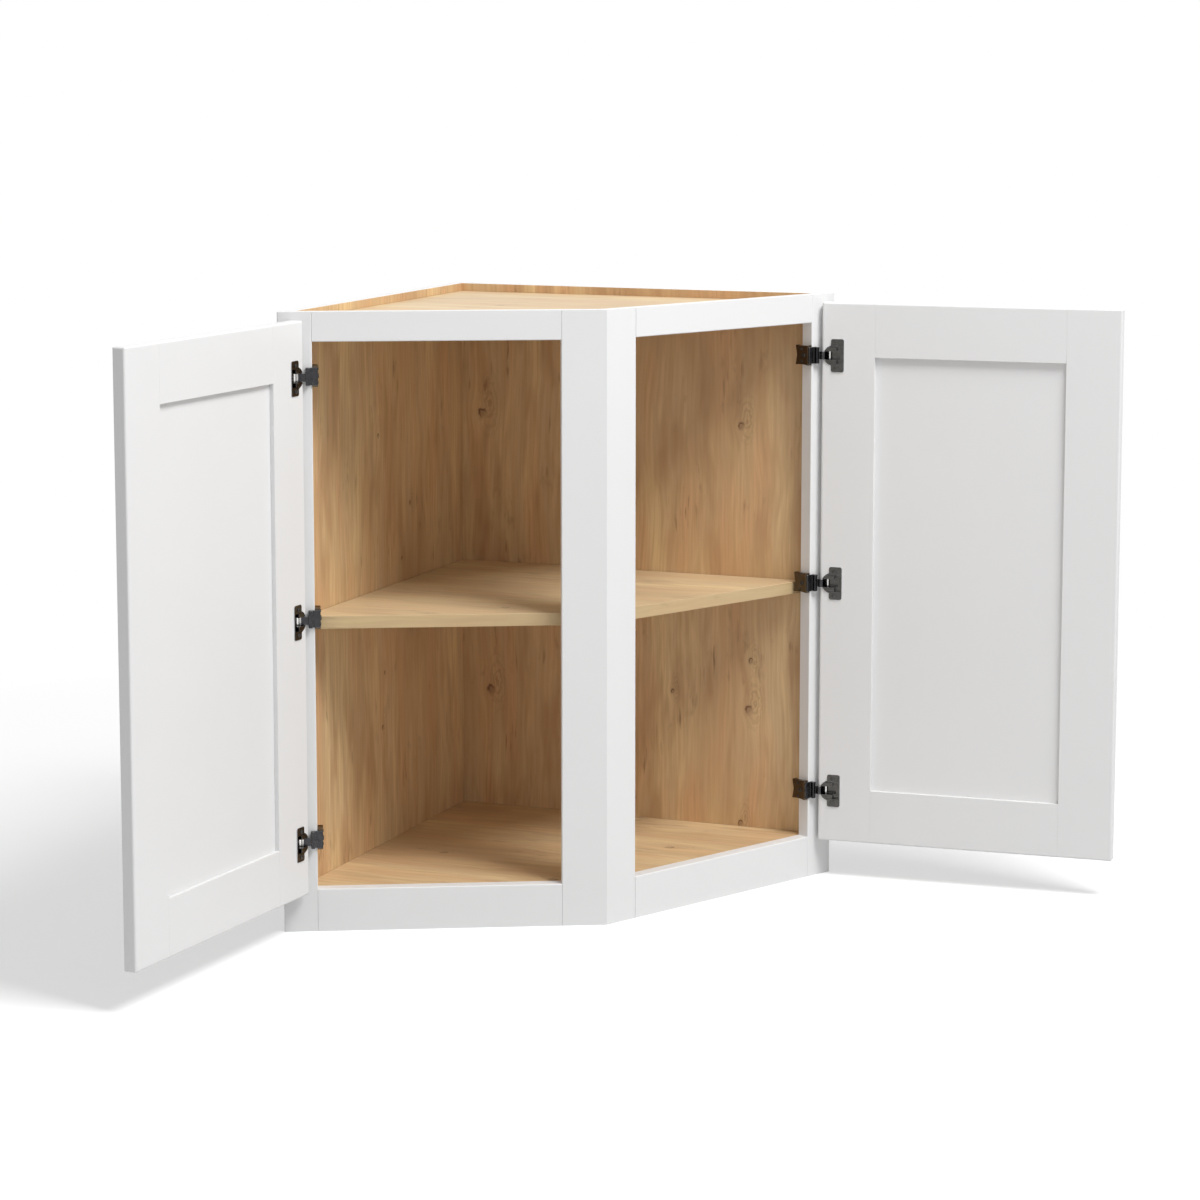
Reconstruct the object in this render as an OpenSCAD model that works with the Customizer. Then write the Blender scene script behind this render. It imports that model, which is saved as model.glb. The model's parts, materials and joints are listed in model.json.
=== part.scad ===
// Base end cabinet with a kite-shaped plan and two shaker doors.
// The rear corner stands at the origin on the floor. The back panel runs along +X and the side
// panel along -Y, and two face frames of equal width meet in a mitred ridge at the front.
// The left half of the front is drawn once and mirrored about the line y = -x for the right half.

/* [Carcass] */
// Length of each wall side, from the rear corner to the end of the face frame
wall_side = 612; // [600:1:640]
// Height from the floor to the top edges
cabinet_h = 876.3; // [800:0.1:920]
// Thickness of the side and back panels
panel_t = 15; // [13:0.5:18]
// Depth of the grooves that house the top panel and the floor panel
housing = 6; // [4:0.5:8]
// Thickness of the top panel
top_t = 15; // [12:0.5:18]
// How far the top panel lies below the top edges
top_drop = 12; // [6:0.5:18]
// Thickness of the floor panel
floor_t = 15; // [12:0.5:18]

/* [Face frame] */
// Angle of the left face frame to the back panel, and of the right one to the side panel
face_angle = 26.25; // [22:0.25:40]
// Thickness of the face frame
frame_t = 19; // [18:0.5:22]
// Width of each end stile
end_stile_w = 48.5; // [46:0.5:52]
// Width of the left centre stile, from the opening to the ridge
left_centre_w = 63.5; // [50:0.5:70]
// Width of the right centre stile, from the opening to the ridge
right_centre_w = 55.5; // [50:0.5:70]
// Height of the top rails
top_rail_h = 41.5; // [36:0.5:60]
// Height of the bottom rails, which reach the floor
bottom_rail_h = 61; // [50:0.5:80]
// Length of the tenons on the rails
tenon_l = 14; // [8:1:20]
// Thickness of the tenons on the rails
tenon_t = 6; // [5:0.5:8]
// Shoulder above and below each tenon
tenon_shoulder = 8; // [6:0.5:10]
// Radius of the eased edges round the openings
frame_ease = 1.5; // [0.5:0.1:2.5]

/* [Shelf] */
// Height of the top of the shelf above the floor
shelf_z = 446; // [300:1:600]
// Thickness of the shelf
shelf_t = 18; // [15:0.5:20]
// Distance from the front of the face frame back to the shelf
shelf_setback = 28; // [28:0.5:60]
// Gap between the shelf and the panels beside it
shelf_gap = 1; // [0.5:0.1:2]
// Diameter of a shelf pin
pin_d = 5; // [4:0.5:7]
// How deep a shelf pin goes into its panel
pin_depth = 9; // [7:0.5:11]
// How far a shelf pin reaches under the shelf
pin_reach = 11; // [8:0.5:14]
// Distance of the rear shelf pins from the rear corner
pin_rear = 90; // [60:1:150]
// Distance of the front shelf pins from the rear corner
pin_front = 500; // [420:1:530]

/* [Doors] */
// Thickness of a door
door_t = 19; // [19:0.5:21]
// Height of the doors' bottom edges above the floor
door_z = 56.3; // [40:0.1:58]
// Distance from the doors' top edges up to the cabinet's
door_drop = 11; // [5:0.5:30]
// Distance of a closed door's free edge from the middle plane of the ridge
ridge_gap = 2; // [1.5:0.1:6]
// Part of the face frame that shows beside a closed door, at its end
door_reveal = 14; // [13:0.5:15]
// Gap between a closed door and the face frame
door_gap = 3; // [3:0.1:3.5]
// Width of the door's stiles and rails
door_member_w = 80; // [60:1:90]
// Thickness of the flat panel
door_panel_t = 6; // [5:0.5:8]
// Depth of the groove round the flat panel
door_groove = 10; // [8:0.5:12]
// Radius of the eased edges of a door
door_ease = 3; // [3:0.1:4]
// Angle by which the doors stand open
open_angle = 120; // [0:1:120]

/* [Hinges] */
// Distance of the pivot from the door's edge
pivot_in = 9.5; // [9:0.1:9.5]
// Distance of the pivot from the door's inner face
pivot_deep = 9.5; // [9.5:0.1:10]
// Diameter of the pivot pin
pivot_d = 3; // [2.5:0.1:3.2]
// Distance of the top hinges from the doors' top edges
hinge_top = 78.3; // [70:0.1:120]
// Height of the middle hinges above the doors' bottom edges
hinge_mid = 391.2; // [340:0.1:450]
// Height of the bottom hinges above the doors' bottom edges
hinge_low = 76.7; // [70:0.1:120]
// Thickness of the flange on the door
flange_t = 1.2; // [0.8:0.1:1.2]
// Height of the flange
flange_h = 49; // [46:0.5:54]
// Distance from the door's edge to the far side of the flange
flange_far = 33.4; // [33:0.1:36]
// Radius of the cup's round end
cup_r = 15; // [15:0.1:16]
// Depth of the cup in the door
cup_deep = 13.2; // [13.2:0.1:14]
// Thickness of the cup's walls
cup_wall = 1; // [0.8:0.1:1]
// Height of the arm
arm_h = 24.5; // [20:0.5:25]
// Height of the arm's neck
neck_h = 11.5; // [8:0.5:11.5]
// Thickness of the arm's steel
arm_t = 2; // [1.6:0.1:2]
// How far the arm's block stands in front of the face frame
block_n = 7.5; // [5:0.1:8]
// Length of the arm's block
block_l = 5.5; // [5:0.1:6]
// Height of the plate on the stile
plate_h = 30; // [29:0.5:36]
// Thickness of the plate on the stile
plate_t = 8; // [7:0.1:9]
// How far the plate reaches behind the front of the face frame
plate_deep = 26; // [24:0.5:26.5]

/* [Fits] */
// Clearance round a tenon, a tongue or a panel in its groove
joint_gap = 0.05; // [0.02:0.01:0.1]
// Radial clearance of a pin or screw in its hole
pin_gap = 0.05; // [0.02:0.01:0.08]
// Clearance between the arm and the door's parts
run_gap = 0.3; // [0.3:0.05:0.4]

/* [Hidden] */
SIDES = ["left", "right"];
LEVELS = ["top", "middle", "bottom"];
door_top = cabinet_h - door_drop;
hinge_zs = [door_top - hinge_top, door_z + hinge_mid, door_z + hinge_low];
CARCASS = ["side_panel", "back_panel", "top_panel", "floor_panel", "shelf", "shelf_pins", "glue_blocks"];
FRONT = ["end_stile", "centre_stile", "top_rail", "bottom_rail", "plate_screws", "arm_screws",
    "door_hinge_stile", "door_free_stile", "door_top_rail", "door_bottom_rail", "door_panel",
    "hinge_pins", "cup_screws"];
HINGE = ["hinge_plate", "hinge_arm", "hinge_cup"];

fillet_steps = 6;
round_fn = 48;
slack = 1;

// Plan of the carcass
ridge_at = wall_side / (1 + tan(face_angle));
face_w = ridge_at / cos(face_angle);
mitre_angle = 45 - face_angle;
opening_top = cabinet_h - top_rail_h;
top_z = cabinet_h - top_drop - top_t;
floor_z = bottom_rail_h - floor_t;

// Glue blocks under the floor panel
glue_leg = 20;
glue_l = 60;

// Shelf pins
pin_plate_t = 2;
pin_plate_w = 12;

// Door
door_w = face_w + door_gap * tan(mitre_angle) - ridge_gap - door_reveal;
door_h = door_top - door_z;
groove_y = -(door_t + door_panel_t) / 2;
tongue_end = 12;
panel_play = 0.5;

// Hinge, in the closed door's own frame: x from the door's edge, depth from its inner face
rim_in = 3;
cup_centre = rim_in + cup_r;
flange_lap = 0.8;
cup_far = flange_far - flange_lap;
flange_near = 14;
flange_round = 3;
flange_lip = 0.3;
cup_floor_t = 0.6;
rib_near = 5;
rib_rise = 1.6;
rib_top = 12;
channel_h = neck_h + 1;
notch_deep = 3;
eye_r = 2.6;
neck_angle = 7.5;
neck_bend_r = 2.5;

// Arm, in the face frame's own frame: x from the frame's end, y into the cabinet
pivot_x = door_reveal + pivot_in;
pivot_y = -door_gap - pivot_deep;
block_far = door_reveal + cup_far - cup_wall - run_gap;
block_near = block_far - block_l;
rise_at = block_near - arm_t / 4;
step_n = door_gap - flange_t - run_gap;
step_far = door_reveal + flange_far + run_gap;
lip_n = door_gap - run_gap;
arm_far = end_stile_w + plate_t;
leg_h = 12;
leg_deep = 20;
leg_x = end_stile_w + (plate_t - arm_t) / 2;
plate_wave = 1.2;
plate_wave_near = 8;
plate_wave_far = 7;
plate_wave_r = 3;
plate_tip_r = 1.2;
plate_hollow = 3;
plate_hollow_r = 4;
pin_over = 4;

// The cup's housings end where the block's corner, on its circle about the pivot, leaves the cup
block_sweep = norm([block_near - pivot_x, pivot_y + block_n]);
rib_far = pivot_in + sqrt(pow(block_sweep, 2) - pow(pivot_deep + rib_rise, 2)) - run_gap;

// Under the closed arm's block the cup is solid, but for the channel that the neck lies in
bed_deep = block_n - door_gap + run_gap;
bed_near = rise_at - door_reveal + arm_t / 2 + run_gap;

// Screws
screw_pitch = 36;
screw_in = 22;
screw_d = 3.5;
screw_head_d = 6.4;
screw_head_t = 1.3;
cup_screw_l = 11;
plate_screw_l = 18;
plate_screw_edge = 5.5;
plate_screw_pitch = plate_h - 2 * plate_screw_edge;
plate_screw_deep = plate_deep / 2;
plate_screw_head_d = 4.4;
plate_screw_head_t = 0.8;
arm_screw_deep = 9;
arm_screw_d = 4;
arm_screw_head_d = 7;
arm_screw_head_t = 1.4;
arm_screw_rest = 1.5;

// A polygon's corners rounded by arcs, each with its own radius
function corner_arc(a, b, c, r) =
    let (
        u = (a - b) / norm(a - b),
        v = (c - b) / norm(c - b),
        half = acos(max(-1, min(1, u * v))) / 2,
        centre = b + (u + v) / norm(u + v) * r / sin(half),
        start = b + u * r / tan(half) - centre,
        finish = b + v * r / tan(half) - centre,
        from = atan2(start[1], start[0]),
        turn = atan2(finish[1], finish[0]) - from,
        sweep = turn > 180 ? turn - 360 : turn < -180 ? turn + 360 : turn
    )
    [for (i = [0:fillet_steps]) centre + r * [cos(from + sweep * i / fillet_steps),
        sin(from + sweep * i / fillet_steps)]];

function rounded(points, radii) = [
    for (i = [0:len(points) - 1])
        let (a = points[(i + len(points) - 1) % len(points)], b = points[i],
            c = points[(i + 1) % len(points)])
        each (radii[i] > 0 ? corner_arc(a, b, c, radii[i]) : [b])
];

// A strip of even thickness along a path
function path_normal(path, i) =
    let (
        before = i > 0 ? path[i] - path[i - 1] : path[1] - path[0],
        after = i < len(path) - 1 ? path[i + 1] - path[i] : before,
        u = before / norm(before),
        v = after / norm(after),
        n = [-(u + v)[1], (u + v)[0]] / norm(u + v)
    )
    n / max(0.5, n * [-u[1], u[0]]);

function strip(path, t) = concat(
    [for (i = [0:len(path) - 1]) path[i] + path_normal(path, i) * t / 2],
    [for (i = [len(path) - 1:-1:0]) path[i] - path_normal(path, i) * t / 2]
);

// Corners of the plan, drawn in by one distance at the walls and another at the face frames
function left_corner(wall, front) =
    [wall, -wall_side + (wall + front * sin(face_angle)) * tan(face_angle) + front * cos(face_angle)];
function ridge_corner(front) =
    [1, -1] * (ridge_at - front / (sin(face_angle) + cos(face_angle)));
function kite(wall, front) = [
    [wall, -wall],
    left_corner(wall, front),
    ridge_corner(front),
    [-left_corner(wall, front)[1], -wall]
];

// Distance from a face frame's end to the end of its opening
function opening_end(side) = face_w - (side == "left" ? left_centre_w : right_centre_w);

// Places the left front's frame: x along the face from its end, y into the cabinet
module on_front(side) {
    mirror(side == "right" ? [1, 1, 0] : [0, 0, 0])
        translate([0, -wall_side, 0])
            rotate([0, 0, face_angle]) children();
}

// Places the closed door's own frame, turned open about the pivot
module on_door(side) {
    on_front(side)
        translate([door_reveal + pivot_in, -door_gap - pivot_deep, 0])
            rotate([0, 0, -open_angle])
                translate([-pivot_in, pivot_deep, 0]) children();
}

// A slab of the kite plan
module kite_slab(wall, front, z, t) {
    translate([0, 0, z]) linear_extrude(t) polygon(kite(wall, front));
}

// Carcass panels

module wall_panel() {
    linear_extrude(cabinet_h) polygon([
        [0, 0],
        left_corner(0, frame_t),
        left_corner(panel_t, frame_t),
        [panel_t, 0]
    ]);
}

module pin_holes() {
    for (y = [pin_rear, pin_front])
        translate([panel_t - pin_depth, -y, shelf_z - shelf_t - pin_plate_t - pin_d / 2])
            rotate([0, 90, 0]) cylinder(h = pin_depth + slack, d = pin_d + 2 * pin_gap, $fn = round_fn);
}

module side_panel() {
    color("white") difference() {
        wall_panel();
        kite_slab(panel_t - housing, frame_t - slack, top_z, top_t);
        kite_slab(panel_t - housing, frame_t - slack, floor_z, floor_t);
        translate([panel_t - housing, -panel_t, -slack])
            cube([housing + slack, panel_t + slack, cabinet_h + 2 * slack]);
        pin_holes();
    }
}

module back_panel() {
    color("white") difference() {
        mirror([1, 1, 0]) wall_panel();
        translate([-slack, -panel_t - slack, -slack])
            cube([panel_t - housing + slack, panel_t + 2 * slack, cabinet_h + 2 * slack]);
        kite_slab(panel_t - housing, frame_t - slack, top_z, top_t);
        kite_slab(panel_t - housing, frame_t - slack, floor_z, floor_t);
        mirror([1, 1, 0]) pin_holes();
    }
}

module top_panel() {
    color("burlywood") kite_slab(panel_t - housing, frame_t, top_z, top_t);
}

module floor_panel() {
    color("burlywood") kite_slab(panel_t - housing, frame_t, floor_z, floor_t);
}

module shelf() {
    color("burlywood") kite_slab(panel_t + shelf_gap, shelf_setback, shelf_z - shelf_t, shelf_t);
}

module shelf_pins() {
    color("silver") for (side = SIDES) for (y = [pin_rear, pin_front])
        mirror(side == "right" ? [1, 1, 0] : [0, 0, 0])
            translate([panel_t, -y, shelf_z - shelf_t - pin_plate_t]) {
                translate([-pin_depth, 0, -pin_d / 2])
                    rotate([0, 90, 0]) cylinder(h = pin_depth + pin_reach, d = pin_d, $fn = round_fn);
                translate([0, -pin_plate_w / 2, -pin_d / 2])
                    cube([pin_reach, pin_plate_w, pin_d / 2 + pin_plate_t]);
            }
}

// Triangular blocks glued between the underside of the floor and what stands round it
module glue_block() {
    rotate([90, 0, 0]) linear_extrude(glue_l, center = true)
        polygon([[0, 0], [glue_leg, 0], [0, -glue_leg]]);
}

module glue_blocks() {
    color("tan") for (side = SIDES) {
        mirror(side == "right" ? [1, 1, 0] : [0, 0, 0])
            for (y = [wall_side / 4, wall_side * 3 / 4])
                translate([panel_t, -y, floor_z]) glue_block();
        on_front(side) translate([face_w / 2, frame_t, floor_z]) rotate([0, 0, 90]) glue_block();
    }
}

// Face frame

module end_stile(side) {
    color("white") on_front(side) difference() {
        linear_extrude(cabinet_h) polygon(rounded(
            [[0, 0], [end_stile_w, 0], [end_stile_w, frame_t], [frame_t * tan(face_angle), frame_t]],
            [frame_ease, frame_ease, 0, 0]
        ));
        rail_mortises(end_stile_w, -1);
        for (z = hinge_zs) plate_screw_holes(z);
    }
}

module centre_stile(side) {
    color("white") on_front(side) difference() {
        linear_extrude(cabinet_h) polygon(rounded(
            [[opening_end(side), 0], [face_w, 0],
                [face_w - frame_t * tan(mitre_angle), frame_t], [opening_end(side), frame_t]],
            [frame_ease, 0, 0, 0]
        ));
        rail_mortises(opening_end(side), 1);
    }
}

// Mortises for the top and bottom rails' tenons, at x and reaching towards way
module rail_mortises(x, way) {
    for (span = [[0, bottom_rail_h], [opening_top, cabinet_h]])
        translate([way > 0 ? x - slack : x - tenon_l - joint_gap, (frame_t - tenon_t) / 2 - joint_gap,
                span[0] + tenon_shoulder - joint_gap])
            cube([tenon_l + joint_gap + slack, tenon_t + 2 * joint_gap,
                span[1] - span[0] - 2 * tenon_shoulder + 2 * joint_gap]);
}

// A rail between the stiles over length w, with its eased edge at height eased_z
module frame_rail(w, z, h, eased_z) {
    translate([end_stile_w, 0, z]) rotate([90, 0, 90]) linear_extrude(w) polygon(rounded(
        [[0, 0], [frame_t, 0], [frame_t, h], [0, h]],
        [eased_z == z ? frame_ease : 0, 0, 0, eased_z == z ? 0 : frame_ease]
    ));
    translate([end_stile_w - tenon_l, (frame_t - tenon_t) / 2, z + tenon_shoulder])
        cube([w + 2 * tenon_l, tenon_t, h - 2 * tenon_shoulder]);
}

module top_rail(side) {
    color("white") on_front(side)
        frame_rail(opening_end(side) - end_stile_w, opening_top, top_rail_h, opening_top);
}

module bottom_rail(side) {
    color("white") on_front(side)
        frame_rail(opening_end(side) - end_stile_w, 0, bottom_rail_h, bottom_rail_h);
}

// Doors, each a frame of two stiles and two rails round a flat panel

// The door's whole blank, with every outer edge eased
module door_blank() {
    intersection() {
        translate([0, 0, door_z]) linear_extrude(door_h) polygon(rounded(
            [[0, 0], [0, -door_t], [door_w, -door_t], [door_w, 0]],
            [door_ease, door_ease, door_ease, door_ease]
        ));
        translate([-slack, 0, door_z]) rotate([90, 0, 90]) linear_extrude(door_w + 2 * slack)
            polygon(rounded(
                [[0, 0], [0, door_h], [-door_t, door_h], [-door_t, 0]],
                [door_ease, door_ease, door_ease, door_ease]
            ));
        translate([0, slack, door_z]) rotate([90, 0, 0]) linear_extrude(door_t + 2 * slack) polygon(rounded(
            [[0, 0], [door_w, 0], [door_w, door_h], [0, door_h]],
            [door_ease, door_ease, door_ease, door_ease]
        ));
    }
}

module door_slice(x, w, z, h) {
    intersection() {
        door_blank();
        translate([x, -door_t - slack, z]) cube([w, door_t + 2 * slack, h]);
    }
}

// The groove for the panel and the rails' tongues, cut from x over w and from z over h
module panel_groove(x, w, z, h) {
    translate([x, groove_y - joint_gap, z]) cube([w, door_panel_t + 2 * joint_gap, h]);
}

module stile_groove(x) {
    panel_groove(x, door_groove + slack, door_z + tongue_end - joint_gap,
        door_h - 2 * tongue_end + 2 * joint_gap);
}

module door_hinge_stile(side) {
    color("white") on_door(side) difference() {
        door_slice(-slack, door_member_w + slack, door_z - slack, door_h + 2 * slack);
        stile_groove(door_member_w - door_groove);
        for (z = hinge_zs) cup_pocket(z);
    }
}

module door_free_stile(side) {
    color("white") on_door(side) difference() {
        door_slice(door_w - door_member_w, door_member_w + slack, door_z - slack, door_h + 2 * slack);
        stile_groove(door_w - door_member_w - slack);
    }
}

// A door rail: foot is its outer edge's height, and inward is 1 where its panel lies above it
module door_rail(foot, inward) {
    low = inward > 0 ? foot : foot - door_member_w;
    tongue_low = inward > 0 ? foot + tongue_end : low + door_groove;
    difference() {
        door_slice(door_member_w, door_w - 2 * door_member_w, low - (inward > 0 ? slack : 0),
            door_member_w + slack);
        panel_groove(door_member_w - slack, door_w - 2 * door_member_w + 2 * slack,
            inward > 0 ? low + door_member_w - door_groove : low - slack, door_groove + slack);
    }
    translate([door_member_w - door_groove, groove_y, tongue_low])
        cube([door_w - 2 * door_member_w + 2 * door_groove, door_panel_t,
            door_member_w - tongue_end - door_groove]);
}

module door_top_rail(side) {
    color("white") on_door(side) door_rail(door_top, -1);
}

module door_bottom_rail(side) {
    color("white") on_door(side) door_rail(door_z, 1);
}

module door_panel(side) {
    edge = door_member_w - door_groove + panel_play;
    color("white") on_door(side) translate([edge, groove_y, door_z + edge])
        cube([door_w - 2 * edge, door_panel_t, door_h - 2 * edge]);
}

// Hinges

// Outline of the cup, drawn in by inset: a round end towards the door's edge and a square far end
module cup_outline(inset) {
    translate([cup_centre, 0]) circle(cup_r - inset, $fn = round_fn);
    translate([cup_centre, -cup_r + inset]) square([cup_far - cup_centre - inset, 2 * (cup_r - inset)]);
}

// Sinks a shape drawn in the door's elevation to depth from the inner face, over t towards the outer face
module sunk(z, depth, t) {
    translate([0, -depth, z]) rotate([90, 0, 0]) linear_extrude(t) children();
}

module cup_pocket(z) {
    sunk(z, -slack, cup_deep + slack + joint_gap) cup_outline(-joint_gap);
    for (way = [-1, 1])
        translate([screw_in, slack, z + way * screw_pitch / 2])
            rotate([90, 0, 0])
                cylinder(h = cup_screw_l + slack, d = screw_d + 2 * pin_gap, $fn = round_fn);
}

module flange_outline() {
    translate([cup_centre, 0]) circle(cup_r + flange_lip, $fn = round_fn);
    polygon(rounded(
        [[flange_near, -flange_h / 2], [flange_far, -flange_h / 2],
            [flange_far, flange_h / 2], [flange_near, flange_h / 2]],
        [flange_round, flange_round, flange_round, flange_round]
    ));
}

module hinge_cup(side, z) {
    color("dimgray") on_door(side) difference() {
        union() {
            difference() {
                union() {
                    sunk(z, 0, cup_deep) cup_outline(0);
                    sunk(z, -flange_t, flange_t) flange_outline();
                }
                sunk(z, -slack - flange_t, cup_deep - cup_floor_t + slack + flange_t) cup_hollow();
            }
            for (way = [-1, 1]) cup_rib(z, way);
            cup_bed(z);
        }
        pivot_hole(z, cup_r - cup_wall - slack);
        rim_notch(z);
        for (way = [-1, 1])
            translate([screw_in, slack + flange_t, z + way * screw_pitch / 2])
                rotate([90, 0, 0])
                    cylinder(h = 2 * slack + flange_t, d = screw_d + 2 * pin_gap, $fn = round_fn);
    }
}

// The hollow inside the cup's walls, no taller than the arm's block that closes into it
module cup_hollow() {
    intersection() {
        cup_outline(cup_wall);
        translate([0, -arm_h / 2 - run_gap]) square([cup_far, arm_h + 2 * run_gap]);
    }
}

// The solid bed under the closed arm's block, above, below and beyond the neck's channel
module cup_bed(z) {
    sunk(z, bed_deep, cup_deep - bed_deep) intersection() {
        cup_outline(0);
        union() {
            for (way = [0, 1]) mirror([0, way])
                translate([rib_near, channel_h / 2]) square([cup_far - rib_near, cup_r]);
            translate([bed_near, -cup_r]) square([cup_far - bed_near, 2 * cup_r]);
        }
    }
}

// The cup's inner housings, above and below the channel in which the neck turns
module cup_rib(z, way) {
    intersection() {
        sunk(z, -rib_rise, cup_deep + rib_rise) cup_outline(0);
        translate([rib_near, -cup_deep, z + (way > 0 ? channel_h / 2 : -rib_top)])
            cube([rib_far - rib_near, cup_deep + rib_rise, rib_top - channel_h / 2]);
    }
}

// Gap in the cup's rim through which the neck passes when the door is open
module rim_notch(z) {
    translate([0, -notch_deep, z - channel_h / 2])
        cube([rib_near + slack, notch_deep + flange_t + slack, channel_h]);
}

module pivot_hole(z, reach) {
    translate([pivot_in, -pivot_deep, z])
        cylinder(h = 2 * reach, d = pivot_d + 2 * pin_gap, center = true, $fn = round_fn);
}

module hinge_pins(side) {
    color("silver") on_door(side) for (z = hinge_zs)
        translate([pivot_in, -pivot_deep, z])
            cylinder(h = channel_h + 2 * pin_over, d = pivot_d, center = true, $fn = round_fn);
}

// A screw whose head rests on the plane y = 0 of its own frame and whose shank goes along -y
module screw(head_d, head_t, d, l) {
    rotate([90, 0, 0]) {
        cylinder(h = l, d = d, $fn = round_fn);
        translate([0, 0, -head_t]) cylinder(h = head_t, d = head_d, $fn = round_fn);
    }
}

module cup_screws(side) {
    color("silver") on_door(side) for (z = hinge_zs) for (way = [-1, 1])
        translate([screw_in, flange_t, z + way * screw_pitch / 2])
            screw(screw_head_d, screw_head_t, screw_d, cup_screw_l + flange_t - slack);
}

// The neck's path in the face frame's own frame: from the pivot deep in the closed door, round the
// door's edge, and down to the block on the stile
function neck_path() =
    let (
        pivot = [pivot_x, pivot_y],
        corner = pivot + [1, -tan(neck_angle)] * (rise_at - pivot_x)
    )
    concat([pivot], corner_arc(pivot, corner, [rise_at, 0], neck_bend_r), [[rise_at, 0]]);

// The arm's block, in the cup of the closed door, and its lip between the door and the frame
module arm_profile() {
    polygon(rounded(
        [[block_near, 0], [block_near, -block_n], [block_far, -block_n], [block_far, -step_n],
            [step_far, -step_n], [step_far, -lip_n], [arm_far, -lip_n], [arm_far, 0]],
        [0, arm_t / 2, arm_t / 2, 0, 0, 0, arm_t / 2, 0]
    ));
}

module hinge_arm(side, z) {
    color("dimgray") on_front(side) difference() {
        union() {
            translate([0, 0, z - neck_h / 2]) linear_extrude(neck_h) polygon(strip(neck_path(), arm_t));
            translate([pivot_x, pivot_y, z]) cylinder(h = neck_h, r = eye_r, center = true, $fn = round_fn);
            translate([0, 0, z - arm_h / 2]) linear_extrude(arm_h) arm_profile();
            translate([leg_x, -lip_n / 2, z - leg_h / 2]) cube([arm_t, leg_deep + lip_n / 2, leg_h]);
        }
        translate([pivot_x, pivot_y, z])
            cylinder(h = neck_h + slack, d = pivot_d + 2 * pin_gap, center = true, $fn = round_fn);
        arm_screw_hole(z, leg_x - slack, arm_t + 2 * slack);
    }
}

module arm_screw_hole(z, x, l) {
    translate([x, arm_screw_deep, z]) rotate([0, 90, 0])
        cylinder(h = l, d = arm_screw_d + 2 * pin_gap, $fn = round_fn);
}

module plate_screw_holes(z) {
    for (way = [-1, 1])
        translate([end_stile_w + plate_t + slack, plate_screw_deep, z + way * plate_screw_pitch / 2])
            rotate([0, -90, 0])
                cylinder(h = slack + plate_t + plate_screw_l, d = screw_d + 2 * pin_gap, $fn = round_fn);
}

// The plate's outline: waved edges above and below and a hollow at the rear, as cast
module plate_outline() {
    waist = plate_h / 2 - plate_wave;
    far = plate_deep - plate_wave_far;
    polygon(rounded(
        [[0, -plate_h / 2], [plate_wave_near, -waist], [far, -waist],
            [plate_deep, -plate_h / 2], [plate_deep - plate_hollow, 0], [plate_deep, plate_h / 2],
            [far, waist], [plate_wave_near, waist], [0, plate_h / 2]],
        [0, plate_wave_r, plate_wave_r, plate_tip_r, plate_hollow_r, plate_tip_r,
            plate_wave_r, plate_wave_r, 0]
    ));
}

module hinge_plate(side, z) {
    color("saddlebrown") on_front(side) difference() {
        translate([end_stile_w, 0, z]) rotate([90, 0, 90]) linear_extrude(plate_t) plate_outline();
        translate([leg_x - joint_gap, -slack, z - leg_h / 2 - joint_gap])
            cube([arm_t + 2 * joint_gap, leg_deep + joint_gap + slack, leg_h + 2 * joint_gap]);
        plate_screw_holes(z);
        arm_screw_hole(z, end_stile_w + arm_screw_rest, plate_t);
    }
}

module plate_screws(side) {
    color("silver") on_front(side) for (z = hinge_zs) for (way = [-1, 1])
        translate([arm_far, plate_screw_deep, z + way * plate_screw_pitch / 2]) rotate([0, 0, -90])
            screw(plate_screw_head_d, plate_screw_head_t, screw_d, plate_screw_l + plate_t - slack);
}

module arm_screws(side) {
    color("silver") on_front(side) for (z = hinge_zs)
        translate([arm_far, arm_screw_deep, z]) rotate([0, 0, -90])
            screw(arm_screw_head_d, arm_screw_head_t, arm_screw_d, plate_t - arm_screw_rest - pin_gap);
}

side_panel();
back_panel();
top_panel();
floor_panel();
shelf();
shelf_pins();
glue_blocks();

for (side = SIDES) {
    end_stile(side);
    centre_stile(side);
    top_rail(side);
    bottom_rail(side);
    plate_screws(side);
    arm_screws(side);
    door_hinge_stile(side);
    door_free_stile(side);
    door_top_rail(side);
    door_bottom_rail(side);
    door_panel(side);
    hinge_pins(side);
    cup_screws(side);
    for (i = [0:2]) {
        hinge = str(side, "_", LEVELS[i], "_hinge");
        hinge_plate(side, hinge_zs[i]);
        hinge_arm(side, hinge_zs[i]);
        hinge_cup(side, hinge_zs[i]);
    }
}
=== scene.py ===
"""Finishes the base end cabinet: white lacquer, clear-coated knotty veneer and plated hinges.
The rear corner stands at the origin. The back panel runs along +X and the side panel along -Y."""

import json
import math

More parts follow.
